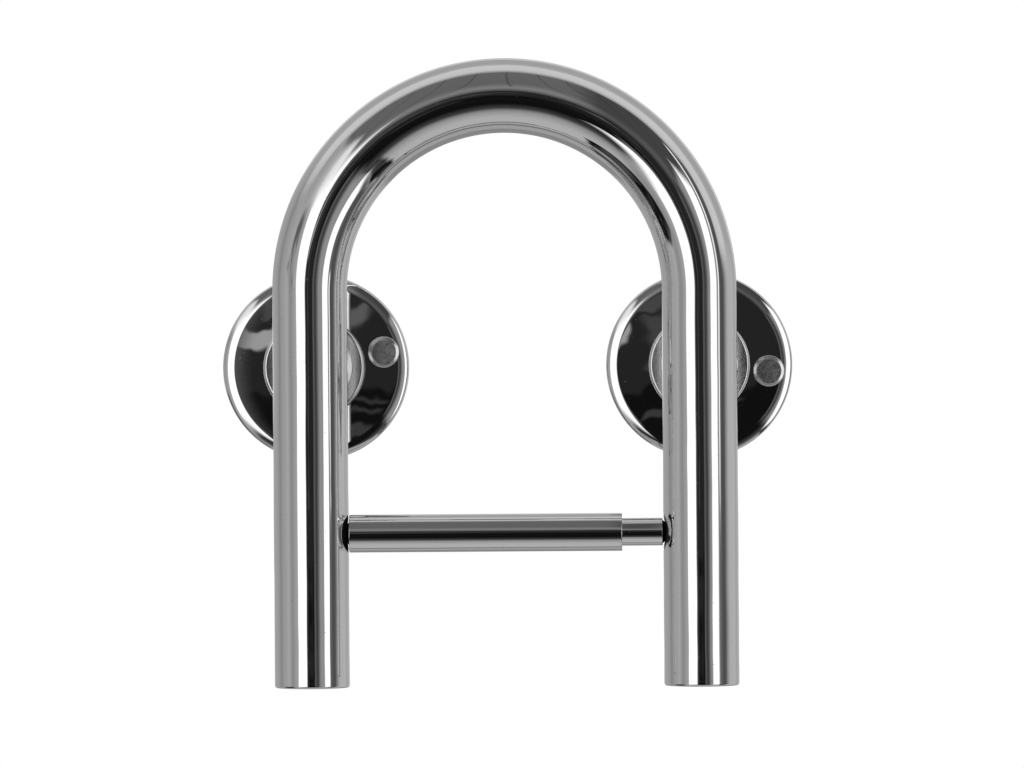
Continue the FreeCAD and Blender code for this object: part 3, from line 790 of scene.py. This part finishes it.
make_rail()
for side, sign in SIDES:
    make_end_cap(side, sign)
    make_post(side, sign)
    make_hub(side, sign)
    make_washer(side, sign)
    make_key_screw(side, sign)
    make_flange(side, sign)
    make_screw_covers(side, sign)
    make_socket(side, sign)
make_roller_tube("roller_sleeve", "roller_outer_sleeve", "roller_outer", SLEEVE_RADIUS, SLEEVE_WALL, 0.3 * MM)
make_roller_tube("roller_inner_tube", "roller_slim_tube", "roller_inner", INNER_RADIUS, INNER_WALL, 0.25 * MM)
make_tip("roller_left_tip", "roller_left_nib", "roller_outer", -1, SLEEVE_RADIUS - SLEEVE_WALL)
make_tip("roller_right_tip", "roller_right_nib", "roller_inner", 1, INNER_RADIUS - INNER_WALL)

node_slots = {entry["node"]: entry["material_slot"] for entry in frame["record"]["subparts"]}
for node, piece in frame["nodes"].items():
    if not piece.hide_render:
        piece.data.materials.clear()
        piece.data.materials.append(materials[node_slots[node]])


# ---------------------------------------------------------------- studio

def make_backdrop():
    """A white cove all round: a low pale floor that curves up into plain walls."""
    floor, wall, curve = -4.0, 8.0, 2.0
    corners = [(0, floor, 0), (wall, floor, curve), (wall, 8.0, curve), (0, 8.0, 0)]
    cove = lathe("studio_cove", rounded(corners, 16), Vector((0, 0, 0)), AXIS_Z, segments=96)
    material = bpy.data.materials.new("studio_white")
    material.use_nodes = True
    nodes = Nodes(material.node_tree)
    place = nodes.add("ShaderNodeTexCoord").outputs["Object"]
    height = nodes.add("ShaderNodeSeparateXYZ", {0: place}).outputs[2]
    tone = nodes.mix(nodes.map(height, floor, floor + curve), (0.90, 0.90, 0.90, 1), (1, 1, 1, 1))
    glow = nodes.add("ShaderNodeEmission", {0: tone, 1: 1.0})
    nodes.add("ShaderNodeOutputMaterial", {0: glow.outputs[0]})
    cove.data.materials.append(material)
    for flag in ("visible_glossy", "visible_diffuse", "visible_transmission", "visible_shadow"):
        setattr(cove, flag, False)


# Brightness of the room along four ways out from straight ahead: (degrees from the camera's
# side, level). Behind the object the four meet again. The levels were set from the
# brightness measured across the photograph's polished tube, which mirrors the room.
UP_TONES = (
    (0, .03), (3, .04), (5, .02), (8, .03), (12, .07), (17, .17), (21, .25), (25, .23),
    (30, .18), (35, .145), (73, .15), (75, .30), (80, .50), (84, .66), (103, .70), (108, .50),
    (116, .42), (140, .42), (152, .70), (180, .40))
DOWN_TONES = (
    (0, .06), (3, .08), (6, .04), (10, .01), (17, .006), (27, .006), (31, .02), (38, .045),
    (42, .08), (47, .24), (52, .34), (60, .42), (72, .51), (96, .52), (101, .30), (104, .14),
    (108, .40), (122, .42), (130, .28), (180, .30))
RIGHT_TONES = (
    (0, .06), (6, .05), (10, .10), (13, .12), (18, .05), (22, .07), (27, .22), (31, .32),
    (58, .32), (61, .14), (66, .14), (70, .09), (76, .09), (80, .10), (84, .22), (92, .40),
    (98, .50), (125, .52), (136, .42), (150, .48), (180, .55))
LEFT_TONES = (
    (0, .05), (6, .06), (10, .09), (14, .14), (40, .44), (50, .38), (58, .30), (64, .34),
    (72, .46), (84, .40), (92, .38), (100, .34), (107, .27), (113, .34), (128, .40), (160, .42),
    (180, .38))
# Fading light where the left card's upper end spreads over the wall.
GLOW_TONES = ((26, 1.0), (44, .90), (53, .55), (64, .42), (82, .36))
# Upright white cards round the object: left and right edge in degrees, their softness, lower
# and upper end in degrees, their softness, brightness, distance in metres.
CARDS = {"left_card": (-40.0, -13.4, 0.9, -20, 17, 5.0, 1.3, 7.0),
         "right_card": (37.0, 55.3, 1.3, -28, 27, 3.0, 1.3, 1.1),
         "thin_card": (59.8, 63.6, 0.7, -3, 40, 2.0, 1.1, 1.3)}

# Faint shapes beside the camera: left, right, lower and upper edge, brightness.
NEAR_PATCHES = ((-11.5, -6.8, 2.0, 4.4, .36), (-9.0, -2.0, 5.4, 7.6, .05), (0.0, 3.2, 4.6, 7.2, .10),
                (-5.0, -2.5, -1.0, 5.0, .04), (0.5, 4.5, -3.6, -3.0, .03), (0.5, 4.5, -5.2, -4.5, .03),
                (1.0, 4.0, -8.0, -6.4, .04), (-6.0, -3.0, -6.0, -4.6, .04))


DEGREES = 180 / math.pi
# Parts of the room, in degrees round from the right, counted upwards: start, end and softness.
CEILING = (37, 136, 2.5)
CEILING_BEHIND = (10, 150, 8)
FLOOR = (-138, -42, 5)
RIGHT_HALF = (-90, 90, 3)
# The same round from the right, and then out from straight ahead.
GLOW_AREA = ((138, 158, 4), (30, 79, 4))
MOTTLED_AREA = ((159, 176, 3), (50, 76, 4))
FOLDED_STAND = ((-166, -123, 2), (74, 108, 1.5))
EDGE_STAND = ((-49, -42, 1.2), (36, 94, 2))
TILED_REACH = (24, 74, 3)
# How far noise moves the room's edges, and the shapes beside the camera, in degrees.
WOBBLE, SWAY = 16.0, 5.0


def make_world():
    """The room's soft light: grey walls, a tiled ceiling, a pale floor and dark stands."""
    world = bpy.data.worlds.new("studio_light")
    bpy.context.scene.world = world
    world.use_nodes = True
    nodes = Nodes(world.node_tree)
    way = nodes.add("ShaderNodeTexCoord").outputs["Generated"]
    across, back, up = nodes.add("ShaderNodeSeparateXYZ", {0: way}).outputs
    forward = nodes.math("MULTIPLY", back, -1.0)
    spread = nodes.math("MULTIPLY", nodes.math("ARCCOSINE", forward), DEGREES)
    turn = nodes.math("MULTIPLY", nodes.math("ARCTAN2", up, across), DEGREES)
    side_angle = nodes.math("MULTIPLY", nodes.math("ARCTAN2", across, forward), DEGREES)
    height = nodes.math("MULTIPLY", nodes.math("ARCSINE", up), DEGREES)
    wobble = nodes.add("ShaderNodeTexNoise", {"Vector": way, "Scale": 2.2, "Detail": 3.0}).outputs[0]
    turn = nodes.math("ADD", turn, nodes.math("MULTIPLY", nodes.math("SUBTRACT", wobble, 0.5), WOBBLE))

    def area(around, outward):
        return nodes.math("MULTIPLY", nodes.window(turn, *around), nodes.window(spread, *outward))

    above = nodes.window(turn, *CEILING)
    behind = nodes.math("MULTIPLY", nodes.window(turn, *CEILING_BEHIND), nodes.map(spread, 77, 81))
    above = nodes.math("MAXIMUM", above, behind)
    below = nodes.window(turn, *FLOOR)
    rightward = nodes.window(turn, *RIGHT_HALF)
    room = nodes.mix(rightward, nodes.ramp(spread, LEFT_TONES), nodes.ramp(spread, RIGHT_TONES))
    room = nodes.mix(area(*GLOW_AREA), room, nodes.ramp(spread, GLOW_TONES))
    mottle = nodes.add("ShaderNodeTexNoise", {"Vector": way, "Scale": 6.0, "Detail": 4.0}).outputs[0]
    mottle = nodes.math("MULTIPLY", nodes.map(mottle, 0.42, 0.56), area(*MOTTLED_AREA))
    room = nodes.mix(nodes.math("MULTIPLY", mottle, 0.75), room, (.06, .06, .06, 1))

    ceiling = nodes.ramp(spread, UP_TONES)
    tiles = nodes.add("ShaderNodeTexWave", {"Vector": way, "Scale": 2.4, "Distortion": 0.4},
                      wave_type="BANDS", bands_direction="X", wave_profile="SAW").outputs[1]
    joint = nodes.math("MULTIPLY", nodes.map(tiles, 0.94, 0.97), nodes.window(spread, *TILED_REACH))
    shade = nodes.map(turn, 62, 76, 0.45, 1.0)
    shade = nodes.math("MAXIMUM", shade, nodes.map(spread, 72, 76))
    shade = nodes.math("MULTIPLY", shade, nodes.map(joint, 0, 1, 1.0, 0.55))
    ceiling = nodes.mix(shade, (0, 0, 0, 1), ceiling)
    room = nodes.mix(above, room, ceiling)
    room = nodes.mix(below, room, nodes.ramp(spread, DOWN_TONES))

    # Dark stands on the floor: a folded one to the left, the edge of one to the right.
    folds = nodes.add("ShaderNodeTexNoise", {"Vector": way, "Scale": 5.0, "Detail": 3.0}).outputs[0]
    reach = nodes.math("ADD", spread, nodes.map(turn, -165, -125, 14, 0, kind="LINEAR"))
    around, outward = FOLDED_STAND
    stand = nodes.math("MULTIPLY", nodes.window(turn, *around), nodes.window(reach, *outward))
    stands = nodes.math("MAXIMUM", stand, area(*EDGE_STAND))
    room = nodes.mix(stands, room, nodes.map(folds, 0.40, 0.65, 0.006, 0.07))

    # Blurred shapes beside the camera, which only the flat flanges show.
    sway = nodes.add("ShaderNodeTexNoise", {"Vector": way, "Scale": 14.0, "Detail": 2.0}).outputs[0]
    sway = nodes.math("MULTIPLY", nodes.math("SUBTRACT", sway, 0.5), SWAY)
    level = nodes.math("ADD", height, sway)
    bearing = nodes.math("SUBTRACT", side_angle, sway)
    near = nodes.map(level, -2.6, -1.8, 0.006, 0.020)
    for left, right, low, high, glow in NEAR_PATCHES:
        wide = nodes.window(bearing, left, right, 0.5)
        patch = nodes.math("MULTIPLY", wide, nodes.window(level, low, high, 0.25))
        near = nodes.math("ADD", near, nodes.math("MULTIPLY", patch, glow))
    room = nodes.mix(nodes.map(spread, 9.5, 12.5, 1.0, 0.0), room, near)

    light = nodes.add("ShaderNodeBackground", {0: room, 1: 1.0})
    nodes.add("ShaderNodeOutputWorld", {0: light.outputs[0]})


def make_card(name, left, right, side_soft, low, high, end_soft, level, distance):
    """A curved upright card that glows evenly and fades at its edges; the camera doesn't see it."""
    verts, faces = [], []
    columns = 24
    spare = end_soft * 1.2
    bottom = distance * math.tan(math.radians(low - spare))
    top = distance * math.tan(math.radians(high + spare))
    for column in range(columns + 1):
        angle = left - side_soft + (right - left + 2 * side_soft) * column / columns
        way = Vector((math.sin(math.radians(angle)), -math.cos(math.radians(angle)), 0))
        verts += [way * distance + AXIS_Z * bottom, way * distance + AXIS_Z * top]
    for column in range(columns):
        start = 2 * column
        faces.append((start, start + 2, start + 3, start + 1))
    mesh = bpy.data.meshes.new(name)
    mesh.from_pydata(verts, [], faces)
    card = new_object(name, mesh)
    material = bpy.data.materials.new(name)
    material.use_nodes = True
    nodes = Nodes(material.node_tree)
    place = nodes.add("ShaderNodeTexCoord").outputs["Object"]
    across, back, up = nodes.add("ShaderNodeSeparateXYZ", {0: place}).outputs
    forward = nodes.math("MULTIPLY", back, -1.0)
    angle = nodes.math("MULTIPLY", nodes.math("ARCTAN2", across, forward), DEGREES)
    height = nodes.math("MULTIPLY", nodes.math("ARCTAN2", up, distance), DEGREES)
    share = nodes.math("MULTIPLY", nodes.window(angle, left, right, side_soft),
                       nodes.window(height, low, high, end_soft))
    clear = nodes.add("ShaderNodeBsdfTransparent").outputs[0]
    glow = nodes.add("ShaderNodeEmission", {0: (1, 1, 1, 1), 1: level}).outputs[0]
    mixed = nodes.add("ShaderNodeMixShader", {0: share, 1: clear, 2: glow})
    nodes.add("ShaderNodeOutputMaterial", {0: mixed.outputs[0]})
    card.data.materials.append(material)
    for flag in ("visible_camera", "visible_shadow"):
        setattr(card, flag, False)


SENSOR_WIDTH = 36
VIEW_DISTANCE = 2.95
VIEW_AZIMUTH = math.radians(1.3)
VIEW_ROLL = math.radians(0.42)
FRAME_WIDTH = 433.5 * MM
AIM = Vector((3.0 * MM, TUBE_Y, -7.7 * MM))


def make_camera():
    camera = bpy.data.objects.new("camera", bpy.data.cameras.new("camera"))
    bpy.context.scene.collection.objects.link(camera)
    bpy.context.scene.camera = camera
    back = Vector((math.sin(VIEW_AZIMUTH), -math.cos(VIEW_AZIMUTH), 0))
    camera.location = AIM + back * VIEW_DISTANCE
    turn = Euler((math.radians(90), 0, VIEW_AZIMUTH)).to_matrix()
    camera.rotation_euler = (turn @ Euler((0, 0, -VIEW_ROLL)).to_matrix()).to_euler()
    camera.data.sensor_width = SENSOR_WIDTH
    camera.data.lens = SENSOR_WIDTH * VIEW_DISTANCE / FRAME_WIDTH
    camera.data.clip_end = 50


make_backdrop()
make_world()
for card_name, card_sizes in CARDS.items():
    make_card(card_name, *card_sizes)
make_camera()
bpy.context.scene.view_settings.view_transform = "Standard"
